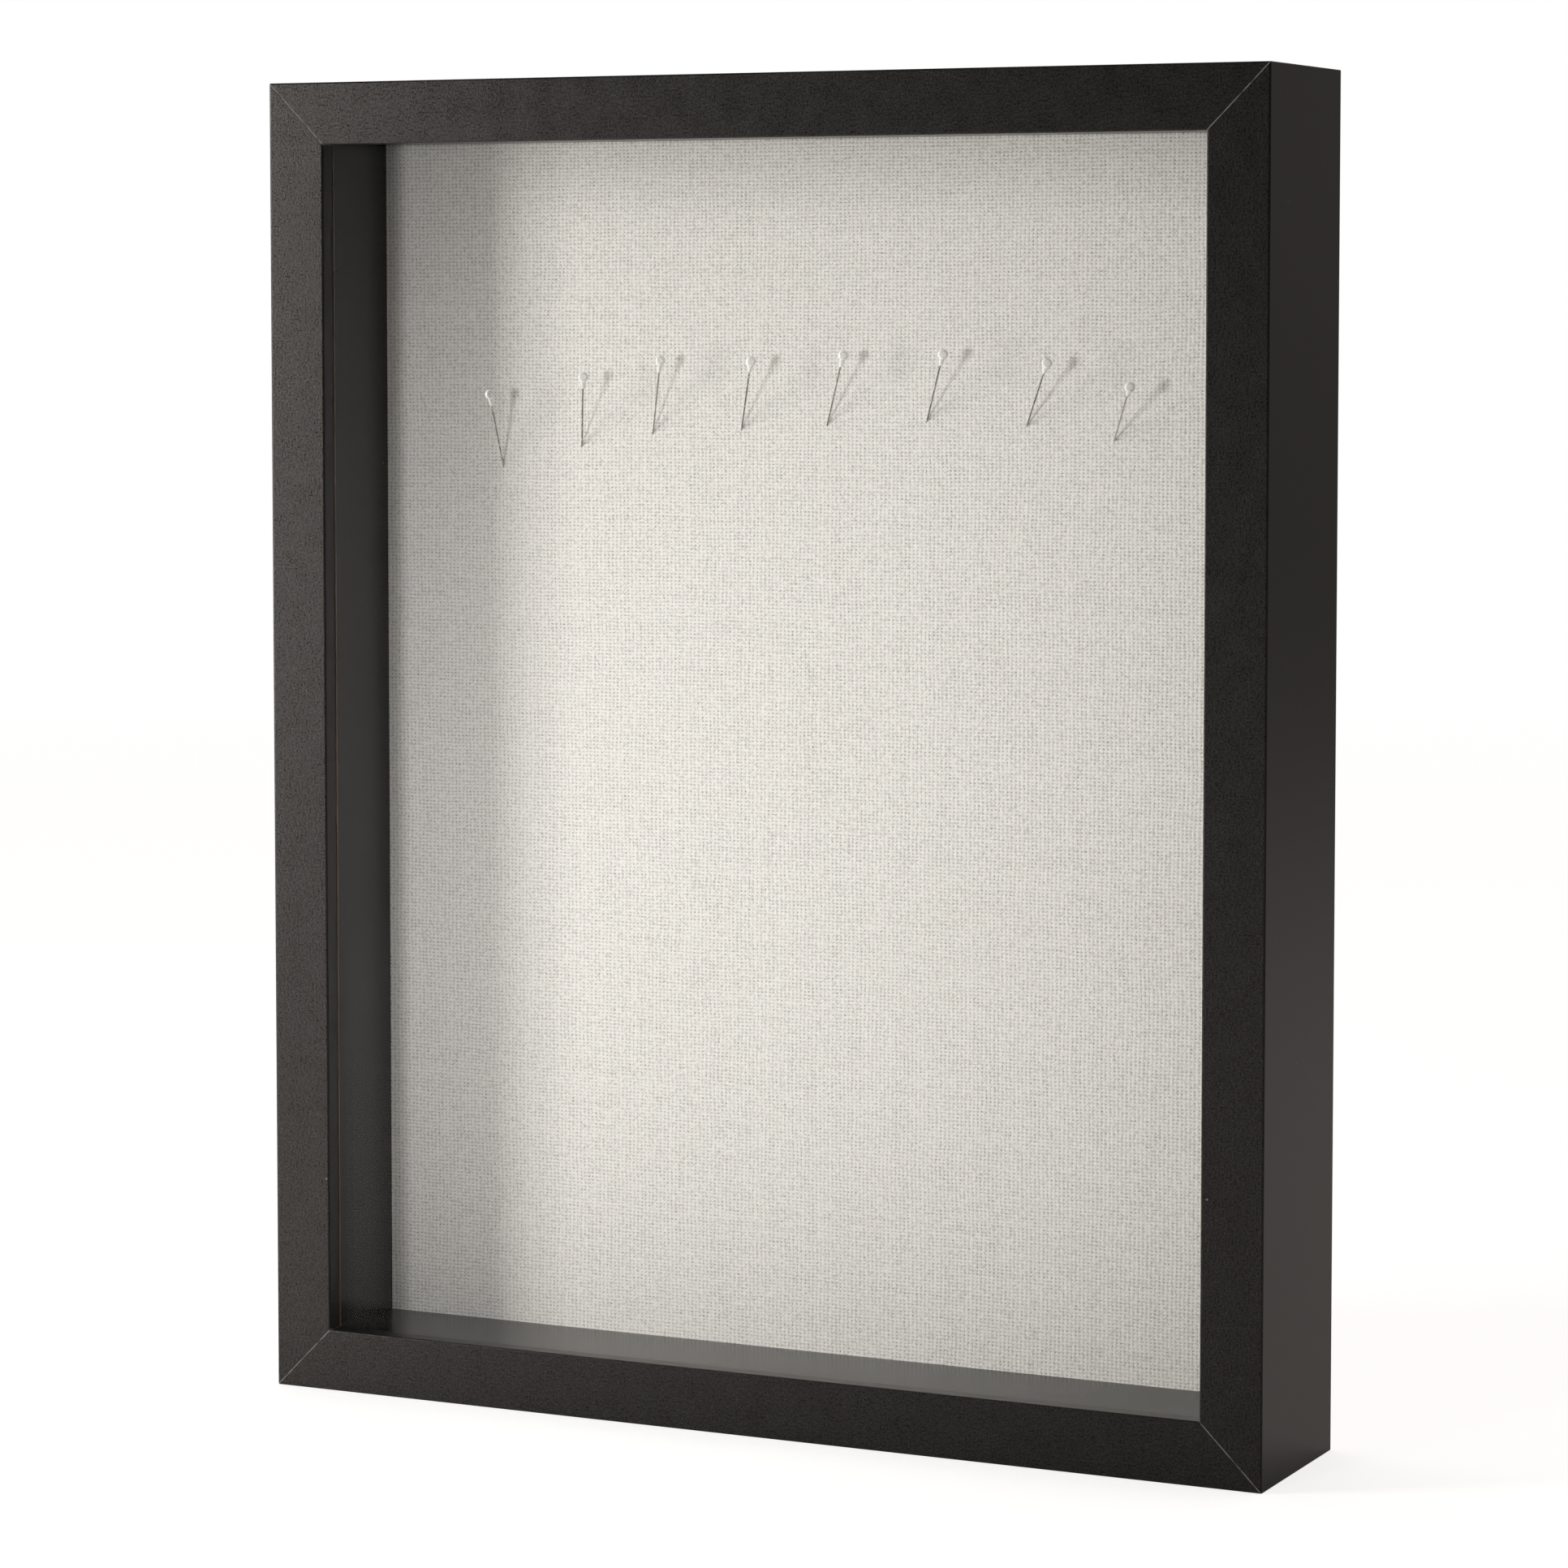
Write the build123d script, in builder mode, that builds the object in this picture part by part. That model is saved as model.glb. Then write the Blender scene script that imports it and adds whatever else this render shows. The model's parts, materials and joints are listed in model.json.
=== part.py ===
"""Shadow box: a deep mitred picture frame that is loaded from the back.

From front to back it holds a pane of glass, four spacer strips, a pin board wrapped in linen with
eight ball-headed pins, and a hardboard back that eight turn buttons keep in. Millimetres, +Z up,
front towards -Y, origin under the middle of the whole box on the surface that it stands on.
"""

import os
from math import cos, radians, sin

from build123d import *

os.makedirs("parts", exist_ok=True)

# Frame: four rails with one section, a front lip on a deep wall.
frame_width = 318.0
frame_height = 395.0
face_width = 18.5
wall_thickness = 10.5
lip_thickness = 5.4
outer_edge_radius = 1.0
sight_edge_radius = 0.5

# What the frame holds, from the lip to the rear.
glass_thickness = 2.0
glass_arris = 0.3
display_depth = 31.9
spacer_thickness = 7.2
cloth_thickness = 0.6
cloth_hem = 18.0
board_thickness = 14.5
panel_thickness = 3.0
insert_play = 0.5

# Pins: a steel shaft with a clear ball on a moulded collar.
pin_reach = 25.5
pin_grip = 10.5
pin_radius = 0.3
pin_point = 2.5
pin_point_radius = 0.05
pin_clearance = 0.06
pin_hole_lead = 2.0
ball_radius = 1.5
collar_length = 2.4
collar_top_radius = 0.95
collar_end_radius = 0.5
# Each pin, left to right: across from the middle, down from the cloth's top edge,
# lean to the right of upright, and lift off the cloth, in mm and degrees.
pins = (
    (-101.0, 97.5, 6.0, 29.5),
    (-74.0, 91.0, 19.0, 30.0),
    (-50.0, 87.0, 19.5, 24.0),
    (-20.5, 85.5, 24.0, 29.0),
    (7.5, 84.0, 26.0, 25.0),
    (39.5, 82.5, 28.0, 29.0),
    (71.0, 83.5, 32.5, 31.5),
    (98.0, 87.5, 35.5, 40.5),
)

# Turn buttons and the screws that they swing on.
button_pivot_radius = 4.6
button_tail_radius = 3.4
button_length = 20.0
button_thickness = 1.4
button_edge = 0.35
button_gap = 0.3
side_button_spacing = 236.0
end_button_spacing = 176.0
screw_radius = 1.5
screw_length = 14.0
screw_point = 3.0
screw_head_radius = 3.3
screw_head_height = 2.0
screw_head_rim = 0.7
screw_slot_length = 4.0
screw_slot_width = 0.9
screw_slot_depth = 1.1
swivel_clearance = 0.1
fastener_clearance = 0.05

# Sawtooth hangers and their nails.
hanger_length = 46.0
hanger_width = 9.0
hanger_thickness = 0.8
hanger_rise = 1.8
hanger_foot = 9.0
hanger_ramp = 3.0
tooth_pitch = 2.4
tooth_count = 9
nail_radius = 0.7
nail_length = 12.0
nail_head_radius = 1.6
nail_head_height = 0.5
nail_inset = 4.0

# V-nails across the mitres, and rubber dots that keep the box off the wall.
v_nail_leg = 4.2
v_nail_half_angle = 52.0
v_nail_gauge = 0.5
v_nail_depth = 9.0
bumper_radius = 4.5
bumper_height = 4.4
bumper_edge = 1.2
bumper_inset = 24.0

# Places along the depth, front to rear.
frame_depth = (
    lip_thickness + glass_thickness + display_depth + 2 * cloth_thickness
    + board_thickness + panel_thickness
)
front_y = -(frame_depth + bumper_height) / 2
lip_back = front_y + lip_thickness
glass_back = lip_back + glass_thickness
cloth_front = glass_back + display_depth
board_front = cloth_front + cloth_thickness
board_back = board_front + board_thickness
panel_front = board_back + cloth_thickness
rear_y = panel_front + panel_thickness

# The rebate inside the walls, and what lies in it.
rebate_width = frame_width - 2 * wall_thickness
rebate_height = frame_height - 2 * wall_thickness
insert_width = rebate_width - 2 * insert_play
insert_height = rebate_height - 2 * insert_play
board_width = insert_width - 2 * cloth_thickness
board_height = insert_height - 2 * cloth_thickness
middle_z = frame_height / 2
cloth_top = frame_height - wall_thickness - spacer_thickness


def slab(width, height, front, back, centre=(0, middle_z)):
    """An upright board between two depths, centred on an (x, z) point."""
    with BuildPart() as board:
        with BuildSketch(Plane.XZ.offset(-front)):
            with Locations(centre):
                Rectangle(width, height)
        extrude(amount=front - back)
    return board.part


def rear_seat(x, z, along):
    """A plane on the rear of the frame: its normal points at the wall, its x axis along a way."""
    return Plane(origin=(x, rear_y, z), x_dir=along, z_dir=(0, 1, 0))


def upright_section(seat):
    """A plane through a seat's normal, for profiles: x along the seat, y out of it."""
    return Plane(origin=seat.origin, x_dir=seat.x_dir, z_dir=-seat.y_dir)


# Seats on the rear face: the middle of each wall, with x pointing across the back panel.
wall_x = (frame_width - wall_thickness) / 2
low_z = wall_thickness / 2
high_z = frame_height - wall_thickness / 2
side_levels = (middle_z + side_button_spacing / 2, middle_z - side_button_spacing / 2)
end_places = (-end_button_spacing / 2, end_button_spacing / 2)
button_seats = {
    "frame_left": [rear_seat(-wall_x, z, (1, 0, 0)) for z in side_levels],
    "frame_right": [rear_seat(wall_x, z, (-1, 0, 0)) for z in side_levels],
    "frame_top": [rear_seat(x, high_z, (0, 0, -1)) for x in end_places],
    "frame_bottom": [rear_seat(x, low_z, (0, 0, 1)) for x in end_places],
}
hanger_seats = {
    "frame_top": rear_seat(0, high_z, (1, 0, 0)),
    "frame_left": rear_seat(-wall_x, middle_z, (0, 0, 1)),
}
bumper_seats = [
    rear_seat(side * (frame_width / 2 - bumper_inset), low_z, (1, 0, 0)) for side in (-1, 1)
]


def nail_seats(seat):
    """The two nail places of a hanger, one on each foot."""
    reach = hanger_length / 2 - nail_inset
    return [seat.shift_origin(seat.from_local_coords((end * reach, 0, 0))) for end in (-1, 1)]


def v_nails(gauge, depth):
    """V-shaped strips across the four mitres, pressed in from the rear."""
    across = v_nail_leg * sin(radians(v_nail_half_angle))
    back = v_nail_leg * cos(radians(v_nail_half_angle))
    with BuildPart() as strips:
        for x in (-wall_x, wall_x):
            for z in (low_z, high_z):
                towards_middle = (-x / abs(x), 0, 1 if z == low_z else -1)
                with BuildSketch(rear_seat(x, z, towards_middle)):
                    with BuildLine() as legs:
                        Polyline((-back / 2, across), (back / 2, 0), (-back / 2, -across))
                    trace(lines=legs.edges(), line_width=gauge)
                extrude(amount=-depth)
    return strips.part


def rail(length):
    """A mitred rail along X with its outer face down, the lip at the front."""
    with BuildPart() as blank:
        with BuildSketch(Plane.YZ):
            with BuildLine():
                Polyline(
                    (front_y, 0),
                    (rear_y, 0),
                    (rear_y, wall_thickness),
                    (lip_back, wall_thickness),
                    (lip_back, face_width),
                    (front_y, face_width),
                    close=True,
                )
            make_face()
            front_corners = vertices().group_by(Axis.X)[0].sort_by(Axis.Y)
            fillet(front_corners[0], outer_edge_radius)
            fillet(vertices().group_by(Axis.Y)[-1].sort_by(Axis.X)[0], sight_edge_radius)
        extrude(amount=length / 2, both=True)
        for end in (-1, 1):
            mitre = Plane(origin=(end * length / 2, 0, 0), z_dir=(end, 0, 1))
            split(bisect_by=mitre, keep=Keep.BOTTOM)
    return blank.part


# The four rails, each turned into place, with its screw and nail holes and V-nail slots.
rail_places = {
    "frame_bottom": (frame_width, Location((0, 0, 0))),
    "frame_top": (frame_width, Location((0, 0, frame_height), (0, 180, 0))),
    "frame_left": (frame_height, Location((-frame_width / 2, 0, middle_z), (0, 90, 0))),
    "frame_right": (frame_height, Location((frame_width / 2, 0, middle_z), (0, -90, 0))),
}
v_nail_slots = v_nails(v_nail_gauge + 2 * fastener_clearance, v_nail_depth)
for name, (length, place) in rail_places.items():
    with BuildPart() as frame_rail:
        with Locations(place):
            add(rail(length))
        with Locations(*button_seats[name]):
            Hole(radius=screw_radius + fastener_clearance, depth=screw_length)
        if name in hanger_seats:
            with Locations(*nail_seats(hanger_seats[name])):
                Hole(radius=nail_radius + fastener_clearance, depth=nail_length)
        add(v_nail_slots, mode=Mode.SUBTRACT)
    frame_rail.part.label = name
    export_step(frame_rail.part, f"parts/{name}.step")

corner_v_nails = v_nails(v_nail_gauge, v_nail_depth)
corner_v_nails.label = "corner_v_nails"
export_step(corner_v_nails, "parts/corner_v_nails.step")

# Glass against the back of the lip.
with BuildPart() as glass_pane:
    add(slab(insert_width, insert_height, lip_back, glass_back))
    chamfer(glass_pane.edges(), length=glass_arris)
glass_pane.part.label = "glass_pane"
export_step(glass_pane.part, "parts/glass_pane.step")

# Spacer strips between the glass and the cloth: the side strips run full height.
side_x = (rebate_width - spacer_thickness) / 2
end_z = (rebate_height - spacer_thickness) / 2
end_length = rebate_width - 2 * spacer_thickness
spacers = {
    "spacer_left": (spacer_thickness, rebate_height, (-side_x, middle_z)),
    "spacer_right": (spacer_thickness, rebate_height, (side_x, middle_z)),
    "spacer_top": (end_length, spacer_thickness, (0, middle_z + end_z)),
    "spacer_bottom": (end_length, spacer_thickness, (0, middle_z - end_z)),
}
for name, (width, height, centre) in spacers.items():
    with BuildPart() as spacer:
        add(slab(width, height, glass_back, cloth_front, centre))
    spacer.part.label = name
    export_step(spacer.part, f"parts/{name}.step")


def pin_plane(across, drop, lean, lift):
    """A plane where a pin enters the cloth, with its normal up the pin's shaft."""
    rise = cos(radians(lift))
    shaft = (sin(radians(lean)) * rise, -sin(radians(lift)), cos(radians(lean)) * rise)
    return Plane(origin=(across, cloth_front, cloth_top - drop), z_dir=shaft)


pin_planes = [pin_plane(*pin) for pin in pins]
pin_hole_starts = [plane.offset(pin_hole_lead) for plane in pin_planes]
pin_hole_depth = pin_hole_lead + pin_grip + pin_clearance

# The board that the pins stick in.
with BuildPart() as pin_board:
    add(slab(board_width, board_height, board_front, board_back))
    with Locations(*pin_hole_starts):
        Hole(radius=pin_radius + pin_clearance, depth=pin_hole_depth)
pin_board.part.label = "pin_board"
export_step(pin_board.part, "parts/pin_board.step")

# Linen over the front and sides of the board, turned over its back as a hem.
with BuildPart() as linen_cover:
    add(slab(insert_width, insert_height, cloth_front, panel_front))
    add(slab(board_width, board_height, board_front, board_back), mode=Mode.SUBTRACT)
    hem_window = slab(
        board_width - 2 * cloth_hem, board_height - 2 * cloth_hem, board_back, panel_front
    )
    add(hem_window, mode=Mode.SUBTRACT)
    with Locations(*pin_hole_starts):
        Hole(radius=pin_radius + pin_clearance, depth=pin_hole_depth)
linen_cover.part.label = "linen_cover"
export_step(linen_cover.part, "parts/linen_cover.step")

# Hardboard back, flush with the rear of the frame.
with BuildPart() as back_panel:
    add(slab(insert_width, insert_height, panel_front, rear_y))
back_panel.part.label = "back_panel"
export_step(back_panel.part, "parts/back_panel.step")

# Pins: the shaft ends in the middle of the ball.
for number, plane in enumerate(pin_planes, start=1):
    profile_plane = upright_section(plane)
    shaft_axis = Axis(plane.origin, plane.z_dir)
    with BuildPart() as pin_shaft:
        with BuildSketch(profile_plane):
            with BuildLine():
                Polyline(
                    (0, -pin_grip),
                    (pin_point_radius, -pin_grip),
                    (pin_radius, pin_point - pin_grip),
                    (pin_radius, pin_reach),
                    (0, pin_reach),
                    close=True,
                )
            make_face()
        revolve(axis=shaft_axis)
    pin_shaft.part.label = f"pin_{number}_shaft"
    export_step(pin_shaft.part, f"parts/pin_{number}_shaft.step")

    with BuildPart() as pin_head:
        collar_start = pin_reach - ball_radius - collar_length
        with BuildSketch(profile_plane):
            with BuildLine():
                Polyline(
                    (0, collar_start),
                    (collar_end_radius, collar_start),
                    (collar_top_radius, pin_reach - ball_radius / 2),
                    (0, pin_reach - ball_radius / 2),
                    close=True,
                )
            make_face()
            with BuildLine():
                Line((0, pin_reach - ball_radius), (0, pin_reach + ball_radius))
                ThreePointArc(
                    (0, pin_reach + ball_radius),
                    (ball_radius, pin_reach),
                    (0, pin_reach - ball_radius),
                )
            make_face()
        revolve(axis=shaft_axis)
        with Locations(plane.offset(pin_reach)):
            Hole(radius=pin_radius + fastener_clearance / 2, depth=pin_reach)
    pin_head.part.label = f"pin_{number}_head"
    export_step(pin_head.part, f"parts/pin_{number}_head.step")

# Turn buttons: a flat plate, round at the pivot and narrower at the tail.
all_button_seats = [seat for seats in button_seats.values() for seat in seats]
for number, seat in enumerate(all_button_seats, start=1):
    with BuildPart() as turn_button:
        with BuildSketch(seat.offset(button_gap)):
            Circle(button_pivot_radius)
            with Locations((button_length, 0)):
                Circle(button_tail_radius)
            make_hull()
        extrude(amount=button_thickness)
        rims = turn_button.faces().sort_by(Axis.Y)
        chamfer(rims[-1].edges(), length=button_edge)
        with Locations(seat.offset(button_gap + button_thickness)):
            Hole(radius=screw_radius + swivel_clearance)
    turn_button.part.label = f"turn_button_{number}"
    export_step(turn_button.part, f"parts/turn_button_{number}.step")

# One pan-headed wood screw through each button.
with BuildPart() as turn_button_screws:
    head_seat = 2 * button_gap + button_thickness
    for seat in all_button_seats:
        with BuildSketch(upright_section(seat)):
            with BuildLine():
                Line((0, head_seat + screw_head_height), (0, -screw_length))
                Polyline(
                    (0, -screw_length),
                    (screw_radius, screw_point - screw_length),
                    (screw_radius, head_seat),
                    (screw_head_radius, head_seat),
                    (screw_head_radius, head_seat + screw_head_rim),
                )
                TangentArc(
                    (0, head_seat + screw_head_height),
                    (screw_head_radius, head_seat + screw_head_rim),
                    tangent=(1, 0),
                )
            make_face()
        revolve(axis=Axis(seat.origin, seat.z_dir))
        with BuildSketch(seat.offset(head_seat + screw_head_height)):
            Rectangle(screw_slot_length, screw_slot_width)
            Rectangle(screw_slot_width, screw_slot_length)
        extrude(amount=-screw_slot_depth, mode=Mode.SUBTRACT)
turn_button_screws.part.label = "turn_button_screws"
export_step(turn_button_screws.part, "parts/turn_button_screws.step")

# Sawtooth hangers: a raised strip with teeth on its lower edge.
for name, seat in hanger_seats.items():
    half = hanger_length / 2
    bends = (
        (-half, 0),
        (hanger_foot - half, 0),
        (hanger_foot + hanger_ramp - half, hanger_rise),
        (half - hanger_foot - hanger_ramp, hanger_rise),
        (half - hanger_foot, 0),
        (half, 0),
    )
    outer_bends = [(along, out + hanger_thickness) for along, out in reversed(bends)]
    with BuildPart() as sawtooth_hanger:
        with BuildSketch(upright_section(seat)):
            with BuildLine():
                Polyline(*bends, *outer_bends, close=True)
            make_face()
        extrude(amount=hanger_width / 2, both=True)
        with BuildSketch(seat.offset(hanger_rise + hanger_thickness)):
            with Locations((0, hanger_width / 2)):
                with GridLocations(tooth_pitch, 1, tooth_count, 1):
                    Rectangle(tooth_pitch * sin(radians(45)), tooth_pitch * sin(radians(45)), 45)
        extrude(amount=-hanger_rise, mode=Mode.SUBTRACT)
        with Locations(*[spot.offset(hanger_thickness) for spot in nail_seats(seat)]):
            Hole(radius=nail_radius + fastener_clearance, depth=hanger_thickness)
    hanger_name = name.replace("frame", "sawtooth_hanger")
    sawtooth_hanger.part.label = hanger_name
    export_step(sawtooth_hanger.part, f"parts/{hanger_name}.step")

# Two flat-headed nails through each hanger.
with BuildPart() as hanger_nails:
    for hanger_seat in hanger_seats.values():
        for seat in nail_seats(hanger_seat):
            with BuildSketch(upright_section(seat)):
                with BuildLine():
                    Polyline(
                        (0, -nail_length),
                        (nail_radius, 2 * nail_radius - nail_length),
                        (nail_radius, hanger_thickness),
                        (nail_head_radius, hanger_thickness),
                        (nail_head_radius, hanger_thickness + nail_head_height),
                        (0, hanger_thickness + nail_head_height),
                        close=True,
                    )
                make_face()
            revolve(axis=Axis(seat.origin, seat.z_dir))
hanger_nails.part.label = "hanger_nails"
export_step(hanger_nails.part, "parts/hanger_nails.step")

# Rubber dots at the rear lower corners.
with BuildPart() as wall_bumpers:
    for seat in bumper_seats:
        with BuildSketch(seat):
            Circle(bumper_radius)
        extrude(amount=bumper_height)
    fillet(wall_bumpers.faces().group_by(Axis.Y)[-1].edges(), bumper_edge)
wall_bumpers.part.label = "wall_bumpers"
export_step(wall_bumpers.part, "parts/wall_bumpers.step")
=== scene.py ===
# %% [markdown]
# # A linen-lined shadow box, dressed
#
# The object is a deep black picture frame that is loaded from the back. Its construction comes
# ready made: every piece already stands where it belongs. This notebook gives each piece the
# surface that a person would see and touch: a pitted black wrap on the rails, satin inner walls, a
# woven linen panel, bright steel pins with clear heads, and the plain fibreboard and steel at the
# rear.
#
# The shapes are worked out with numpy as parametric surfaces, so that each one is a short formula.

import json

import bpy
import numpy as np
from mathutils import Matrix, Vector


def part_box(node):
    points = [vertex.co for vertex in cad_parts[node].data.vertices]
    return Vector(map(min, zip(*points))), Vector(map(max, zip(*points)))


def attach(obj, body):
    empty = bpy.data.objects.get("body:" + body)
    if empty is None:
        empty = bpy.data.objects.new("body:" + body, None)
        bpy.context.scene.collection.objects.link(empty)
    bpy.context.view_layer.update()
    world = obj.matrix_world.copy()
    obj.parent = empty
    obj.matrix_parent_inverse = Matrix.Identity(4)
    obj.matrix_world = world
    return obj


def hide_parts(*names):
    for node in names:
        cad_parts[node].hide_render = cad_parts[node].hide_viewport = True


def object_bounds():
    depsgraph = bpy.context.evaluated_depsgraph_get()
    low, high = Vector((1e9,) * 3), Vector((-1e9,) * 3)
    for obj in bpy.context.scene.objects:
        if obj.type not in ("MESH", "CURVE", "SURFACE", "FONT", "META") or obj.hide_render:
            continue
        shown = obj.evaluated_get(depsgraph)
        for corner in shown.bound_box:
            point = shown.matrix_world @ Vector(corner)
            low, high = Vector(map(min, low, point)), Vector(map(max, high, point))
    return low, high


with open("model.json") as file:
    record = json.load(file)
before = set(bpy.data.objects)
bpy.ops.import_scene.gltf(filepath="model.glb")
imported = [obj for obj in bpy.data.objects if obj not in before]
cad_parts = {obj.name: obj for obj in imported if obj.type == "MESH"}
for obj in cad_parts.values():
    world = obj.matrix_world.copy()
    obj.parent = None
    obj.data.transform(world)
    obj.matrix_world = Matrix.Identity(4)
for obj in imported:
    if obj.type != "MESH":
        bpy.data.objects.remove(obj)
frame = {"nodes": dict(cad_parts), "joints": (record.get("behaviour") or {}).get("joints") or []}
cad_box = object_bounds()
print("pieces in the frame:", len(frame["nodes"]))

# %% [markdown]
# ## Where everything is
#
# The builder of a frame would write down a few sizes first. They can be typed in again, or
# measured on the pieces. Measuring is safer, because the dressing then follows any change: the
# outer width and height come from the rails, the wall from where a spacer begins, the lip from
# where the glass begins.

# %% Measure the box
box_low, box_high = (np.array(corner) for corner in cad_box)
width = box_high[0] - box_low[0]
height = box_high[2]
front = box_low[1]


def span(node, axis):
    """The lowest and highest value of a CAD node along one axis, in metres."""
    low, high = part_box(node)
    return low[axis], high[axis]


rear = span("frame_left", 1)[1]
face_width = span("frame_left", 0)[1] + width / 2
wall = span("spacer_left", 0)[0] + width / 2
spacer_face = span("spacer_left", 0)[1] + width / 2
lip_back, glass_back = span("glass_pane", 1)
cloth_front, cloth_back = span("linen_cover", 1)
mm = 0.001
print("outer size in mm:", np.round([width / mm, height / mm, (rear - front) / mm], 1))

# %% [markdown]
# ## Turning arrays into pieces
#
# A surface is a grid of points, and its faces are the small squares between neighbours. They
# could be written in a double loop, but an index array says the same in one line: each square
# joins a point, the next one along, and the same two in the next row. A closed solid has to have
# its faces pointing outwards, and the sign of its volume shows whether they do.

# %% Grid, solid and piece helpers
def grid_faces(rows, columns, loop=False):
    """Squares of a rows x columns grid of points. With loop, the last column meets the first."""
    steps = columns if loop else columns - 1
    row, column = np.meshgrid(np.arange(rows - 1), np.arange(steps), indexing="ij")
    here = row * columns + column
    beside = row * columns + (column + 1) % columns
    return np.stack([here, beside, beside + columns, here + columns], axis=-1).reshape(-1, 4)


def signed_volume(points, faces):
    """A sixth of the sum of a . (b x c) over a fan of triangles on each face."""
    total = 0.0
    for face in faces:
        ring = points[np.asarray(face)]
        total += np.einsum("j,ij->", ring[0], np.cross(ring[1:-1], ring[2:])) / 6
    return total


def piece_from(name, points, faces, materials, body, slot, face_materials=None, sharp=30.0):
    """Makes a shown piece that rides on a body, with faces outwards and smooth up to an angle."""
    faces = [list(map(int, face)) for face in faces]
    if signed_volume(points, faces) < 0:
        faces = [face[::-1] for face in faces]
    mesh = bpy.data.meshes.new(name)
    mesh.from_pydata(points.tolist(), [], faces)
    for material in materials:
        mesh.materials.append(material)
    if face_materials is not None:
        mesh.polygons.foreach_set("material_index", np.asarray(face_materials, dtype=np.int32))
    mesh.polygons.foreach_set("use_smooth", np.ones(len(faces), dtype=bool))
    mesh.set_sharp_from_angle(angle=np.radians(sharp))
    mesh.update()
    piece = bpy.data.objects.new(name, mesh)
    bpy.context.scene.collection.objects.link(piece)
    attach(piece, body)
    return piece


def give_uv(piece, corner_uv):
    """Stores one (u, v) pair for each vertex as the piece's UV map, in metres."""
    layer = piece.data.uv_layers.new(name="along_and_across")
    loops = np.empty(len(piece.data.loops), dtype=np.int32)
    piece.data.loops.foreach_get("vertex_index", loops)
    layer.data.foreach_set("uv", corner_uv[loops].astype(np.float32).ravel())


def give_mask(piece, name, values):
    """Stores one number for each vertex, which a material can read by name."""
    attribute = piece.data.attributes.new(name, "FLOAT", "POINT")
    attribute.data.foreach_set("value", np.asarray(values, dtype=np.float32))


# %% [markdown]
# ## Writing down a finish
#
# A finish is a small chain of nodes. Adding nodes one by one takes many lines, so a class keeps a
# tree and gives a short way to say each step: a pattern, some arithmetic, a blend of two colours. A
# second class is such a tree with a shader at its end, and adds the bump. Whatever is the same all
# over a surface is set straight on the shader.

# %% Steps of a node tree
class Steps:
    """A tree of nodes. Every method returns the output that the next step reads."""

    def __init__(self, tree):
        self.nodes, self.links = tree.nodes, tree.links

    def join(self, value, socket):
        """Plugs an output into a socket, or writes a plain value on it."""
        if isinstance(value, bpy.types.NodeSocket):
            self.links.new(value, socket)
        else:
            socket.default_value = value

    def place(self, scale=(1, 1, 1), source="Object"):
        """Coordinates of the surface, stretched: Object in metres, or the piece's own UV map."""
        texture = self.nodes.new("ShaderNodeTexCoord")
        mapping = self.nodes.new("ShaderNodeMapping")
        mapping.inputs["Scale"].default_value = scale
        self.links.new(texture.outputs[source], mapping.inputs["Vector"])
        return mapping.outputs[0]

    def mask(self, name):
        """A number that the piece stores for each vertex."""
        node = self.nodes.new("ShaderNodeAttribute")
        node.attribute_name = name
        return node.outputs["Fac"]

    def axis(self, vector, which):
        """One coordinate of a vector, by its letter."""
        node = self.nodes.new("ShaderNodeSeparateXYZ")
        self.join(vector, node.inputs[0])
        return node.outputs[which]

    def vector(self, x, y, z):
        """Three numbers as one vector."""
        node = self.nodes.new("ShaderNodeCombineXYZ")
        for value, socket in zip((x, y, z), node.inputs):
            self.join(value, socket)
        return node.outputs[0]

    def math(self, operation, *values):
        """Arithmetic on numbers: ADD, MULTIPLY, FLOOR, COSINE and so on."""
        node = self.nodes.new("ShaderNodeMath")
        node.operation = operation
        for value, socket in zip(values, node.inputs):
            self.join(value, socket)
        return node.outputs[0]

    def noise(self, where, scale, detail=2.0, roughness=0.5):
        """Soft random hills between 0 and 1, most of them from 0.3 to 0.7."""
        node = self.nodes.new("ShaderNodeTexNoise")
        self.join(where, node.inputs["Vector"])
        node.inputs["Scale"].default_value = scale
        node.inputs["Detail"].default_value = detail
        node.inputs["Roughness"].default_value = roughness
        return node.outputs["Fac"]

    def cells(self, where, scale):
        """Distance to the nearest of many scattered points."""
        node = self.nodes.new("ShaderNodeTexVoronoi")
        self.join(where, node.inputs["Vector"])
        node.inputs["Scale"].default_value = scale
        return node.outputs["Distance"]

    def chance(self, number):
        """A fixed random number between 0 and 1 for each whole number."""
        node = self.nodes.new("ShaderNodeTexWhiteNoise")
        node.noise_dimensions = "1D"
        self.join(number, node.inputs["W"])
        return node.outputs["Value"]

    def spread(self, value, low, high, to_low=0.0, to_high=1.0):
        """Maps low..high to to_low..to_high and holds it there beyond."""
        node = self.nodes.new("ShaderNodeMapRange")
        for number, socket in zip((value, low, high, to_low, to_high), node.inputs):
            self.join(number, socket)
        return node.outputs[0]

    def between(self, pattern, low, high):
        """Maps the reach of a noise, 0.3 to 0.7, to low..high."""
        return self.spread(pattern, 0.3, 0.7, low, high)

    def weighed(self, first, second, share):
        """share of the first number and the rest of the second."""
        return self.math(
            "ADD", self.math("MULTIPLY", first, share), self.math("MULTIPLY", second, 1.0 - share))

    def blend(self, share, first, second):
        """From the first colour to the second as the share goes from 0 to 1."""
        node = self.nodes.new("ShaderNodeMix")
        node.data_type = "RGBA"
        colours = [socket for socket in node.inputs if socket.type == "RGBA"]
        self.join(share, node.inputs["Factor"])
        self.join(rgba(first), colours[0])
        self.join(rgba(second), colours[1])
        return next(socket for socket in node.outputs if socket.type == "RGBA")


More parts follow.
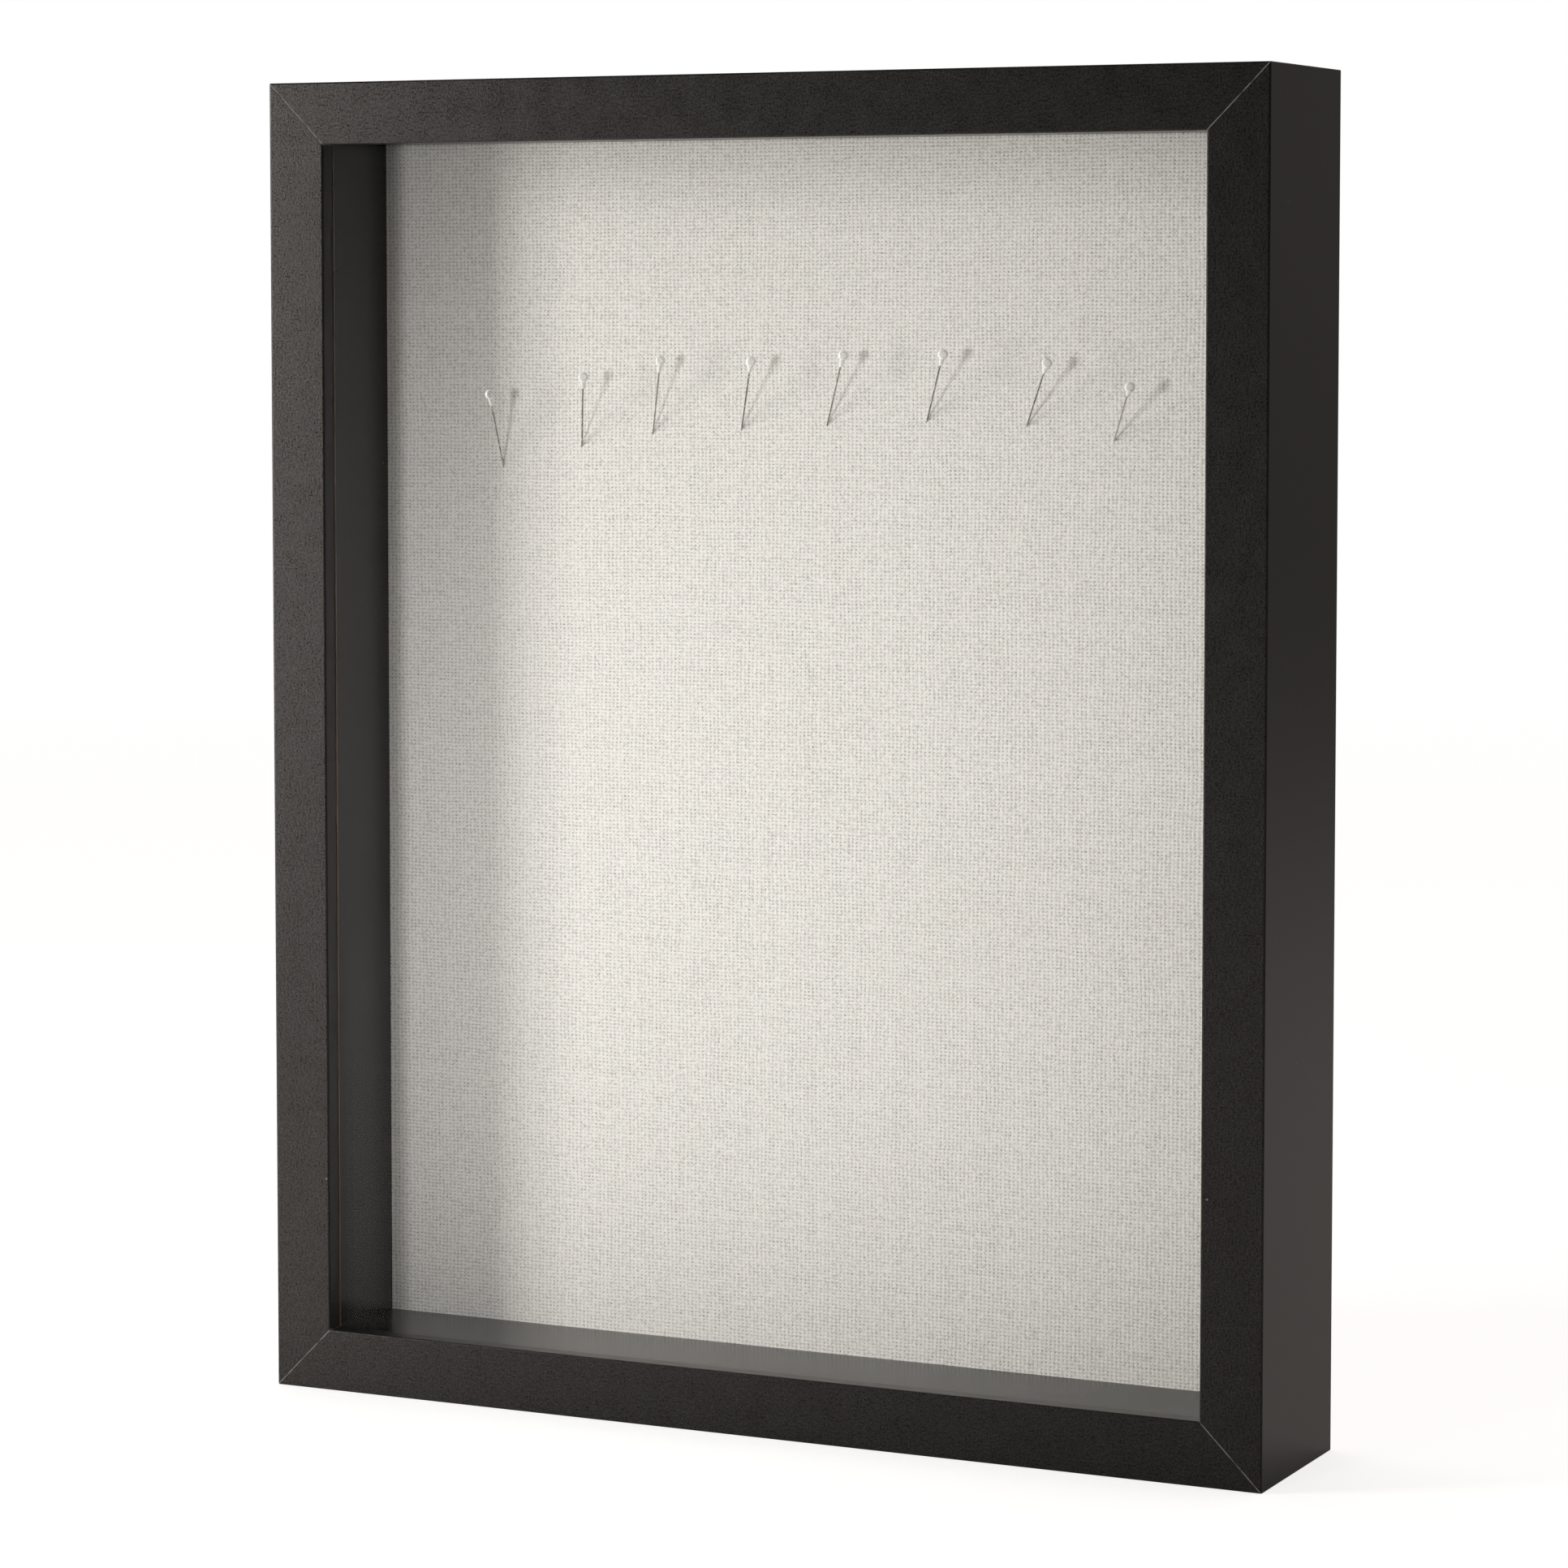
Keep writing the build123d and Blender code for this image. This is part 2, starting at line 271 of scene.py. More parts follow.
class Finish(Steps):
    """A material: a tree that ends in a shader."""

    def __init__(self, name, **shader):
        self.material = bpy.data.materials.new(name)
        self.material.use_nodes = True
        super().__init__(self.material.node_tree)
        self.shader = self.nodes["Principled BSDF"]
        for socket, value in shader.items():
            self.shader.inputs[socket.replace("_", " ")].default_value = value

    def drive(self, socket, value):
        """Lets a pattern steer one of the shader's own sockets."""
        self.links.new(value, self.shader.inputs[socket])

    def relief(self, height, distance, strength):
        """Bumps the surface by a pattern that is distance metres high."""
        node = self.nodes.new("ShaderNodeBump")
        node.inputs["Strength"].default_value = strength
        node.inputs["Distance"].default_value = distance
        self.join(height, node.inputs["Height"])
        self.drive("Normal", node.outputs[0])


def rgba(colour):
    """Three colour numbers as the four that a colour socket holds. An output passes through."""
    return colour if isinstance(colour, bpy.types.NodeSocket) else (*colour, 1.0)


# %% [markdown]
# ## The black wrap
#
# The rails are fibreboard with a printed black wrap glued round them. On the front face the wrap is
# pitted like fine leather, and it drags a little along the rail. On the sides it is a smooth
# satin. A scanned swatch of wrap could be tiled over the rails, but its grain would repeat, so
# three sizes of noise do it instead: blotches, pits, and slightly drawn-out streaks. The pattern
# follows the rail's own UV map, with its length first, so that the streaks turn the corner with
# the mitre. A pit is painted darker, as shade, and the skin round it lighter, as sparkle, and a pit
# holds less gloss than the skin. At the mitre a thin grey line is painted along the groove, and it
# comes and goes.

# %% Wrap finishes
mean_sheen = 0.37
wrap_roughness = 0.31
mitre_line_grey = (0.32, 0.31, 0.295)
dust_grey = (0.30, 0.29, 0.27)


def wrap_finish(name, grain, colour):
    """Black wrap. grain goes from 0, smooth satin, to 1, fully pitted."""
    finish = Finish(name, Roughness=wrap_roughness)
    finish.shader.inputs["Specular Tint"].default_value = (1.0, 0.945, 0.915, 1.0)
    flat = finish.place(source="UV")
    blotches = finish.noise(flat, 130.0, detail=3.0)
    pits = finish.noise(flat, 1800.0, detail=3.0, roughness=0.7)
    drawn = finish.noise(finish.place(scale=(0.35, 1.0, 1.0), source="UV"), 1400.0, detail=2.0)
    speckle = finish.weighed(pits, drawn, 0.8)
    # Painted shade and sparkle: pits are painted darker and the skin between them lighter, over the
    # wrap's own mottle.
    tone = finish.between(speckle, 1.0 - 0.7 * grain, 1.0 + 1.5 * grain)
    tone = finish.math("MULTIPLY", tone, finish.between(blotches, 0.88, 1.12))
    cool = tuple(part * tint for part, tint in zip(colour, (0.93, 1.0, 1.06)))
    body_colour = finish.blend(blotches, colour, cool)
    scaled = finish.nodes.new("ShaderNodeVectorMath")
    scaled.operation = "SCALE"
    finish.join(body_colour, scaled.inputs[0])
    finish.join(tone, scaled.inputs["Scale"])
    dust = finish.spread(finish.cells(flat, 55.0), 0.012, 0.02, 0.5, 0.0)
    dusty = finish.blend(dust, scaled.outputs[0], dust_grey)
    # A thin pale grey line is painted along the mitre groove, broken here and there.
    breaks = finish.spread(finish.noise(finish.place(), 260.0), 0.32, 0.46, 0.2, 1.0)
    edge = finish.math("MULTIPLY", finish.mask("mitre_line"), breaks)
    finish.drive("Base Color", finish.blend(edge, dusty, mitre_line_grey))
    gloss = finish.weighed(speckle, blotches, 0.75)
    wide = 0.02 + 0.06 * grain
    low, high = wrap_roughness - wide, wrap_roughness + wide
    finish.drive("Roughness", finish.between(gloss, low, high))
    low, high = mean_sheen * (1.0 - 0.7 * grain), mean_sheen * (1.0 + 0.7 * grain)
    finish.drive("Specular IOR Level", finish.between(speckle, low, high))
    finish.relief(pits, distance=(0.02 + 0.08 * grain) * mm, strength=0.25 + 0.25 * grain)
    return finish.material


pitted_wrap = wrap_finish("pitted_wrap", 1.0, (0.0090, 0.0083, 0.0080))
satin_wrap = wrap_finish("satin_wrap", 0.12, (0.0104, 0.0098, 0.0095))
print("wrap finishes:", pitted_wrap.name, satin_wrap.name)

# %% [markdown]
# ## Raw fibreboard and hardboard
#
# The wrap stops at the rear, where the sawn fibreboard shows. It is tan, with short darker
# fibres and the fine ridges that a saw leaves. The back panel is hardboard: much browner, pressed
# smooth, with soft cloudy patches and a few scuffs. Both are noise at two or three scales.

# %% Board finishes
def fibreboard_finish():
    """Sawn fibreboard: tan, flecked, faintly ridged."""
    finish = Finish("raw_fibreboard", Roughness=0.85)
    where = finish.place()
    flecks = finish.noise(finish.place(scale=(1.0, 0.4, 1.0)), 1900.0, detail=4.0, roughness=0.7)
    clouds = finish.noise(where, 60.0, detail=3.0)
    shade = finish.weighed(flecks, clouds, 0.65)
    shade = finish.between(shade, 0.0, 1.0)
    colour = finish.blend(shade, (0.235, 0.150, 0.085), (0.47, 0.34, 0.21))
    finish.drive("Base Color", colour)
    finish.drive("Roughness", finish.between(flecks, 0.75, 0.95))
    finish.relief(flecks, distance=0.12 * mm, strength=0.6)
    return finish.material


def hardboard_finish():
    """Pressed hardboard: dark brown, cloudy, with pale scuffs along no particular way."""
    finish = Finish("hardboard_brown", Roughness=0.6)
    where = finish.place()
    clouds = finish.noise(where, 22.0, detail=5.0, roughness=0.6)
    fibres = finish.noise(finish.place(scale=(1.0, 1.0, 0.45)), 900.0, detail=4.0, roughness=0.7)
    specks = finish.spread(finish.cells(where, 240.0), 0.10, 0.22, 1.0, 0.0)
    shade = finish.spread(finish.weighed(clouds, fibres, 0.5), 0.32, 0.68)
    colour = finish.blend(shade, (0.105, 0.055, 0.027), (0.235, 0.135, 0.070))
    colour = finish.blend(finish.math("MULTIPLY", specks, 0.35), colour, (0.040, 0.022, 0.012))
    scuffs = finish.noise(finish.place(scale=(1.0, 1.0, 0.08)), 75.0, detail=2.0)
    colour = finish.blend(finish.spread(scuffs, 0.66, 0.78, 0.0, 0.25), colour, (0.36, 0.26, 0.17))
    finish.drive("Base Color", colour)
    finish.drive("Roughness", finish.between(fibres, 0.48, 0.72))
    finish.relief(fibres, distance=0.06 * mm, strength=0.5)
    return finish.material


raw_fibreboard = fibreboard_finish()
hardboard_brown = hardboard_finish()
print("board finishes:", raw_fibreboard.name, hardboard_brown.name)

# %% [markdown]
# ## The four rails
#
# A rail is one outline carried along a straight line: a thin lip at the front and a deep wall
# behind it. A box with its edges bevelled would miss the lip, and cutting a solid gives ragged
# triangles. Carrying the outline gives clean strips, and the 45 degree mitre comes for free: a
# point that lies further inwards simply travels less far. Close to each mitre the outline shrinks
# a hair, which gives the small groove that a real joint shows.

# %% Outline of a rail
def arc(centre, radius, start, end, steps):
    """Points centre + radius (cos a, sin a) as a goes from start to end, in degrees."""
    angle = np.radians(np.linspace(start, end, steps))
    return np.array(centre) + radius * np.stack([np.cos(angle), np.sin(angle)], axis=-1)


outer_round = 0.6 * mm
sight_round = 0.5 * mm
rear_round = 0.3 * mm
beside_round = 0.2 * mm
mitre_groove = 0.20 * mm
end_groove = 0.1 * mm
hair = 0.01 * mm


def with_flats_held(outline, long_side=3.0 * mm):
    """Adds a point just inside both ends of each long side, which keeps the side's shading flat."""
    after = np.roll(outline, -1, axis=0)
    held = []
    for here, there in zip(outline, after):
        length = np.linalg.norm(there - here)
        held.append(here)
        if length > long_side:
            step = (there - here) / length * beside_round
            held.extend([here + step, there - step])
    return np.array(held)


def rail_outline():
    """A rail's outline as (depth, inwards) points, with its two front edges rounded."""
    return with_flats_held(np.concatenate([
        arc((rear - rear_round, rear_round), rear_round, 0, -90, 4),
        arc((front + outer_round, outer_round), outer_round, 270, 180, 9),
        arc((front + sight_round, face_width - sight_round), sight_round, 180, 90, 6),
        np.array([[lip_back, face_width], [lip_back, wall], [rear, wall]]),
    ]))


def outline_normals(outline):
    """The outward way at each outline point, from its two neighbours."""
    along = np.roll(outline, -1, axis=0) - np.roll(outline, 1, axis=0)
    normal = np.stack([along[:, 1], -along[:, 0]], axis=-1)
    normal /= np.linalg.norm(normal, axis=1, keepdims=True)
    after = np.roll(outline, -1, axis=0)
    turning = np.sum(outline[:, 0] * after[:, 1] - outline[:, 1] * after[:, 0])
    return normal if turning > 0 else -normal


rail_profile = rail_outline()
print("points round a rail:", len(rail_profile))

# %% Carry an outline along a bar
def carried_bar(outline, length, groove, mitred, stations):
    """Points of a bar along X. A point (depth, inwards) at share v of the way stands at
    x = (2 v - 1) (length / 2 - inwards) when mitred, else x = (2 v - 1) length / 2, and near both
    ends the outline is drawn in by up to groove, along a quarter circle."""
    share = np.linspace(0.0, 1.0, 4)
    inset = np.concatenate([[0.0], groove * (1.0 - np.sqrt(1.0 - share**2))])
    back = np.concatenate([[groove + beside_round], groove * (1.0 - share)])
    draw = np.concatenate([inset[::-1], np.zeros(stations), inset])
    reach = np.concatenate([back[::-1], np.full(stations, groove), back])
    side = np.concatenate([-np.ones(5), np.linspace(-1, 1, stations + 2)[1:-1], np.ones(5)])
    normals = outline_normals(outline)
    rings = outline[None] - draw[:, None, None] * normals[None]
    half = length / 2 - np.where(mitred, rings[..., 1], 0.0) - reach[:, None]
    return np.stack([side[:, None] * half, rings[..., 0], rings[..., 1]], axis=-1), draw / groove


def on_side(points, side):
    """Turns a bar from the bottom of the box to one of its four sides, about the depth axis."""
    x, y, z = np.moveaxis(points, -1, 0)
    placed = {
        "bottom": (x, y, z),
        "top": (-x, y, height - z),
        "left": (z - width / 2, y, height / 2 - x),
        "right": (width / 2 - z, y, height / 2 + x),
    }
    return np.stack(placed[side], axis=-1)


def bar_piece(name, outline, length, side, groove, mitred, materials, pick, body, slot):
    """A closed bar. pick gives the material of each strip, by the outline point it starts at."""
    rings, closeness = carried_bar(outline, length, groove, mitred, stations=6)
    rows, columns = rings.shape[:2]
    points = on_side(rings, side).reshape(-1, 3)
    strips = grid_faces(rows, columns, loop=True)
    caps = [list(range(columns)), list(range((rows - 1) * columns, rows * columns))[::-1]]
    strip_materials = np.tile(pick, rows - 1)
    piece = piece_from(
        name, points, [*strips.tolist(), *caps], materials, body, slot,
        face_materials=np.concatenate([strip_materials, [len(materials) - 1] * 2]),
    )
    steps = np.linalg.norm(np.roll(outline, -1, axis=0) - outline, axis=1)
    across = np.concatenate([[0.0], np.cumsum(steps)[:-1]])
    uv = np.stack(np.broadcast_arrays(rings[..., 0], across[None]), axis=-1).reshape(-1, 2)
    give_uv(piece, uv + np.array([0.9, 0.0]) * len(name))
    give_mask(piece, "mitre_line", np.repeat(closeness, columns) > 0.02)
    return piece


# %% Make the rails
strip_middle = (rail_profile + np.roll(rail_profile, -1, axis=0)) / 2
on_front = strip_middle[:, 0] < front + 0.2 * mm
unwrapped = (strip_middle[:, 0] > lip_back - hair) & (strip_middle[:, 1] > rear_round)
rail_pick = np.where(unwrapped, 2, np.where(on_front, 0, 1))
rail_lengths = {"bottom": width, "top": width, "left": height, "right": height}
for side, length in rail_lengths.items():
    rail = bar_piece(
        f"wrapped_rail_{side}", rail_profile, length, side, mitre_groove, True,
        [pitted_wrap, satin_wrap, raw_fibreboard], rail_pick, "case", "frame_wrap",
    )
    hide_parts(f"frame_{side}")
print("rails:", ", ".join(rail_lengths))

# %% [markdown]
# ## Spacer strips
#
# Four strips line the box between the glass and the linen. They are card with a smooth black
# paper, glossy enough to mirror the linen when seen along them. Their long edges are rounded by
# the paper going round, and at the glass the card's brown core just shows. They are bars again,
# with a rounded rectangle for an outline.

# %% Paper finish
def paper_finish():
    """Smooth black paper on card. The core along the edge at the glass is brown low down and
    greyer higher up, with darker grime in places."""
    finish = Finish("black_paper", Roughness=0.24, Specular_IOR_Level=0.5)
    where = finish.place()
    drift = finish.noise(where, 45.0, detail=3.0)
    colour = finish.blend(drift, (0.0115, 0.0108, 0.0105), (0.0165, 0.0158, 0.0155))
    dust = finish.spread(finish.cells(where, 42.0), 0.010, 0.018, 0.6, 0.0)
    colour = finish.blend(dust, colour, (0.35, 0.33, 0.30))
    rise = finish.spread(finish.axis(where, "Z"), 0.08, 0.32)
    core = finish.blend(rise, (0.22, 0.135, 0.085), (0.15, 0.138, 0.125))
    grime = finish.spread(finish.noise(where, 90.0), 0.35, 0.65, 0.0, 0.4)
    core = finish.blend(grime, core, (0.07, 0.060, 0.052))
    finish.drive("Base Color", finish.blend(finish.mask("core"), colour, core))
    gloss = finish.noise(where, 14.0, detail=2.0)
    finish.drive("Roughness", finish.between(gloss, 0.20, 0.28))
    finish.relief(finish.noise(where, 350.0, detail=2.0), distance=0.02 * mm, strength=0.25)
    return finish.material


black_paper = paper_finish()
print("paper finish:", black_paper.name)

# %% Make the spacers
paper_round = 0.30 * mm
core_edge = 0.55 * mm


def spacer_outline():
    """A rounded rectangle in (depth, inwards), from the glass to the cloth. Two points close
    together past the edge at the glass are where the bare core ends and the paper begins."""
    low, high = wall, spacer_face
    near, far = glass_back, cloth_front
    r = paper_round
    return with_flats_held(np.concatenate([
        arc((far - r, low + r), r, 0, -90, 4),
        arc((near + r, low + r), r, 270, 180, 4),
        arc((near + r, high - r), r, 180, 90, 6),
        np.array([[near + core_edge, high], [near + core_edge + 0.04 * mm, high]]),
        arc((far - r, high - r), r, 90, 0, 4),
    ]))


spacer_profile = spacer_outline()
end_length = width - 2 * spacer_face
spacer_lengths = {
    "bottom": end_length, "top": end_length, "left": height - 2 * wall, "right": height - 2 * wall,
}
for side, length in spacer_lengths.items():
    strip = bar_piece(
        f"lining_strip_{side}", spacer_profile, length, side, end_groove, False,
        [black_paper], np.zeros(len(spacer_profile), dtype=int), "case", "spacer_wrap",
    )
    depths = np.array([vertex.co.y for vertex in strip.data.vertices])
    give_mask(strip, "core", depths < glass_back + core_edge + 0.02 * mm)
    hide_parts(f"spacer_{side}")
print("spacer strips:", ", ".join(spacer_lengths))

# %% [markdown]
# ## Glass
#
# The pane is two millimetres of picture glass. A full glass shader would bend light and leave
# the inside of the box dark, because lamps hardly find their way through it. A thin flat pane
# doesn't bend what lies behind it, so clear see-through mixed with a little mirror says the same.
# The Fresnel node makes the mirror stronger towards grazing angles.

# %% Pane finish
def pane_finish():
    """Clear glass that mirrors a little, more at a grazing angle."""
    finish = Finish("picture_glass")
    finish.nodes.remove(finish.shader)
    clear = finish.nodes.new("ShaderNodeBsdfTransparent")
    clear.inputs["Color"].default_value = (0.985, 0.99, 0.985, 1.0)
    mirror = finish.nodes.new("ShaderNodeBsdfGlossy")
    mirror.inputs["Color"].default_value = (0.9, 0.92, 0.92, 1.0)
    mirror.inputs["Roughness"].default_value = 0.02
    fresnel = finish.nodes.new("ShaderNodeFresnel")
    fresnel.inputs["IOR"].default_value = 1.12
    smear = finish.noise(finish.place(), 9.0, detail=3.0)
    share = finish.math("MULTIPLY", fresnel.outputs[0], finish.between(smear, 0.85, 1.0))
    mix = finish.nodes.new("ShaderNodeMixShader")
    finish.join(share, mix.inputs[0])
    finish.links.new(clear.outputs[0], mix.inputs[1])
    finish.links.new(mirror.outputs[0], mix.inputs[2])
    finish.links.new(mix.outputs[0], finish.nodes["Material Output"].inputs["Surface"])
    return finish.material


def dress(node, material):
    """Gives a CAD node that already has its right shape a finish."""
    mesh = frame["nodes"][node].data
    mesh.materials.clear()
    mesh.materials.append(material)


dress("glass_pane", pane_finish())
print("glass: one pane")

# %% [markdown]
# ## Linen
#
# The cloth is a plain weave of natural linen: warp threads run up and down, weft threads across,
# and each passes over one and under the next. Modelling every thread would take millions of faces.
# Instead the weave is worked out in the material from the distance to the nearest thread each way.
# Linen threads are spun a little unevenly, so each has its own thickness and shade, and it swells
# into slight slubs along its length. Where two gaps cross, a small soft hole shows with painted
# shade, deeper at some crossings than at others, and between the holes the cloth stands up in low
# pillows. The lower threads and the threads' edges are painted darker as well, as shade.

# %% Weave finish
warp_pitch = 1.30 * mm
weft_pitch = 1.07 * mm
thread_wander = 1.3
under_height = 0.64
deepest_hole_shade = 0.42


def weave_finish():
    """Plain weave. With X and Z in threads, a thread's height is sqrt(1 - (d / half width)^2) for
    the distance d to its middle line, raised where cos(pi X) cos(pi Z) says that it is on top. The
    colour is painted darker where the height is low and at a hole, as shade. A hole is the product
    of two ramps, each of which grows from a thread's middle to its gap."""
    finish = Finish("linen_weave", Roughness=0.9, Specular_IOR_Level=0.25)
    finish.shader.inputs["Sheen Weight"].default_value = 0.12
    finish.shader.inputs["Sheen Roughness"].default_value = 0.5
    metres = finish.place()
    wander = finish.noise(metres, 34.0, detail=2.0)
    wander_up = finish.noise(finish.place(scale=(1.0, 1.0, 1.3)), 29.0, detail=2.0)
    threads = finish.place(scale=(1 / warp_pitch, 1.0, 1 / weft_pitch))
    wander = finish.math("MULTIPLY", wander, thread_wander)
    across = finish.math("ADD", finish.axis(threads, "X"), wander)
    wander_up = finish.math("MULTIPLY", wander_up, thread_wander)
    upward = finish.math("ADD", finish.axis(threads, "Z"), wander_up)

    def off_middle(position):
        """How far a point is past the middle line of its thread, from -0.5 to 0.5."""
        return finish.math("SUBTRACT", finish.math("FRACT", position), 0.5)

    def thread(position, along, seed):
        """Height and shade of the nearest thread, given how far along it the point is."""
        number = finish.math("FLOOR", position)
        luck = finish.chance(finish.math("ADD", number, seed))
        apart, slow = finish.math("MULTIPLY", number, 3.7), finish.math("MULTIPLY", along, 0.24)
        slub = finish.noise(finish.vector(apart, slow, seed), 1.0, detail=3.0, roughness=0.6)
        girth = finish.spread(luck, 0.0, 1.0, 0.39, 0.46)
        girth = finish.math("ADD", girth, finish.between(slub, -0.04, 0.04))
        ratio = finish.math("DIVIDE", off_middle(position), girth)
        square = finish.math("SUBTRACT", 1.0, finish.math("MULTIPLY", ratio, ratio))
        shade = finish.spread(luck, 0.0, 1.0, -0.02, 0.02)
        shade = finish.math("ADD", shade, finish.between(slub, -0.03, 0.03))
        return finish.math("SQRT", finish.math("MAXIMUM", square, 0.0)), shade

    def on_top(position):
        """cos(pi X), measured from a thread's middle line."""
        from_middle_line = finish.math("SUBTRACT", position, 0.5)
        return finish.math("COSINE", finish.math("MULTIPLY", from_middle_line, np.pi))

    def gap(position):
        """0 over a thread's middle, growing to 1 halfway to the next thread."""
        return finish.spread(finish.math("ABSOLUTE", off_middle(position)), 0.17, 0.5)

    warp, warp_shade = thread(across, upward, seed=11.5)
    weft, weft_shade = thread(upward, across, seed=73.5)
    over = finish.math("MULTIPLY", on_top(across), on_top(upward))
    warp_height = finish.math("MULTIPLY", warp, finish.spread(over, -1.0, 1.0, under_height, 1.0))
    weft_height = finish.math("MULTIPLY", weft, finish.spread(over, -1.0, 1.0, 1.0, under_height))
    height_map = finish.math("MAXIMUM", warp_height, weft_height)
    warp_on_top = finish.math("GREATER_THAN", warp_height, weft_height)
    difference = finish.math("SUBTRACT", warp_shade, weft_shade)
    shade = finish.math("ADD", weft_shade, finish.math("MULTIPLY", warp_on_top, difference))
    fuzz = finish.noise(metres, 1700.0, detail=3.0, roughness=0.7)
    opening = finish.noise(finish.vector(across, 7.0, upward), 1.7, detail=1.0)
    depth = finish.spread(opening, 0.33, 0.67, 0.0, deepest_hole_shade)
    hole_shade = finish.math("MULTIPLY", finish.math("MULTIPLY", gap(across), gap(upward)), depth)
    # Painted shade: the low parts of the threads and the holes are painted darker; fuzz, pebble and
    # the per-thread tones are the linen's own.
    light = finish.math("ADD", finish.spread(height_map, 0.0, 1.0, 0.66, 1.05), shade)
    light = finish.math("SUBTRACT", light, hole_shade)
    light = finish.math("ADD", light, finish.between(fuzz, -0.18, 0.18))
    pebble = finish.noise(finish.vector(across, 11.0, upward), 2.4, detail=1.0)
    light = finish.math("ADD", light, finish.between(pebble, -0.15, 0.15))
    tint = finish.noise(metres, 17.0, detail=3.0)
    pale = finish.blend(tint, (0.793, 0.764, 0.743), (0.779, 0.745, 0.717))
    colour = finish.blend(finish.spread(light, 0.0, 1.05), (0.05, 0.040, 0.030), pale)
    nubs = finish.spread(finish.cells(metres, 60.0), 0.018, 0.032, 0.5, 0.0)
    finish.drive("Base Color", finish.blend(nubs, colour, (0.50, 0.42, 0.32)))
    pillow = finish.math("ADD", finish.math("ABSOLUTE", over), height_map)
    relief = finish.math("ADD", pillow, finish.math("MULTIPLY", fuzz, 0.5))
    finish.relief(relief, distance=0.12 * mm, strength=0.6)
    return finish.material


linen_weave = weave_finish()
print("threads across and up:", int(width / warp_pitch), int(height / weft_pitch))

# %% [markdown]
# ## The wrapped panel
#
# The cloth was cut with square notches at its corners, pulled over the board, and glued down behind
# as a hem. One path says it for both directions: flat over the front, round the edge, along the
# side, round again and back over the rear. Carrying it both ways gives the sheet, and the notches
# are the squares where both ways would be past the edge. A taut cloth is never perfectly flat, so
# it swells by a tenth of a millimetre between threads of even pull.

# %% Wrap the cloth
cloth_low, cloth_high = (np.array(corner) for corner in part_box("linen_cover"))
hem = 18.0 * mm
edge_round = 1.5 * mm
shown_thickness = 0.4 * mm
swell_height = 0.10 * mm
set_back = 0.12 * mm


def wrapped_path(half, deep, steps):
    """Half of the cloth's way over the board: (outwards, backwards) points and flat distances."""
    flat = np.stack([np.linspace(0, half - edge_round, steps), np.zeros(steps)], axis=-1)
    near = arc((half - edge_round, edge_round), edge_round, -60, 0, 3)
    far = arc((half - edge_round, deep - edge_round), edge_round, 0, 90, 4)
    end = np.array([[half - hem, deep]])
    path = np.concatenate([flat, near, far, end])
    steps_along = np.linalg.norm(np.diff(path, axis=0), axis=1)
    return path, np.concatenate([[0.0], np.cumsum(steps_along)])


def both_ways(half, deep, steps):
    """The whole way across: the half path mirrored, from hem to hem."""
    path, distance = wrapped_path(half, deep, steps)
    mirrored = path[:0:-1] * np.array([-1.0, 1.0])
    return np.concatenate([mirrored, path]), np.concatenate([-distance[:0:-1], distance])


def cloth_piece():
    """The sheet: x from one path, z from the other, depth from whichever has gone further back."""
    half = (cloth_high - cloth_low) / 2 - np.array([0.05, 0.0, 0.05]) * mm
    deep = cloth_back - cloth_front
    across, across_flat = both_ways(half[0], deep, 60)
    upward, upward_flat = both_ways(half[2], deep, 76)
    x, z = np.meshgrid(across[:, 0], upward[:, 0], indexing="ij")
    back_x, back_z = np.meshgrid(across[:, 1], upward[:, 1], indexing="ij")
    swell = swell_height * np.sin(x / half[0] * 4.1 + 0.6) * np.sin(z / half[2] * 5.3 + 1.1)
    swell = swell * (np.maximum(back_x, back_z) < hair)
    depth = cloth_front + set_back + np.maximum(back_x, back_z) + swell
    z = z + (cloth_low[2] + cloth_high[2]) / 2
    points = np.stack([x, np.minimum(depth, cloth_back), z], axis=-1)
    faces = grid_faces(*x.shape)
    notch = (np.minimum(back_x, back_z) > hair).ravel()
    faces = faces[~notch[faces].any(axis=1)]
    used = np.unique(faces)
    renumber = np.zeros(x.size, dtype=int)
    renumber[used] = np.arange(len(used))
    mesh = bpy.data.meshes.new("linen_cloth")
    mesh.from_pydata(points.reshape(-1, 3)[used].tolist(), [], renumber[faces].tolist())
    mesh.polygons.foreach_set("use_smooth", np.ones(len(faces), dtype=bool))
    mesh.materials.append(linen_weave)
    piece = bpy.data.objects.new("linen_cloth", mesh)
    bpy.context.scene.collection.objects.link(piece)
    thickness = piece.modifiers.new("thickness", "SOLIDIFY")
    thickness.thickness = shown_thickness
    thickness.offset = -1.0
    flat_size = (float(np.ptp(across_flat)), float(np.ptp(upward_flat)))
    flat_area = sum(polygon.area for polygon in mesh.polygons)
    return piece, flat_size, flat_area


linen_cloth, cloth_cut, cloth_area = cloth_piece()
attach(linen_cloth, "case")
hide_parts("linen_cover")
print("cloth cut to mm:", np.round(np.array(cloth_cut) / mm, 1))
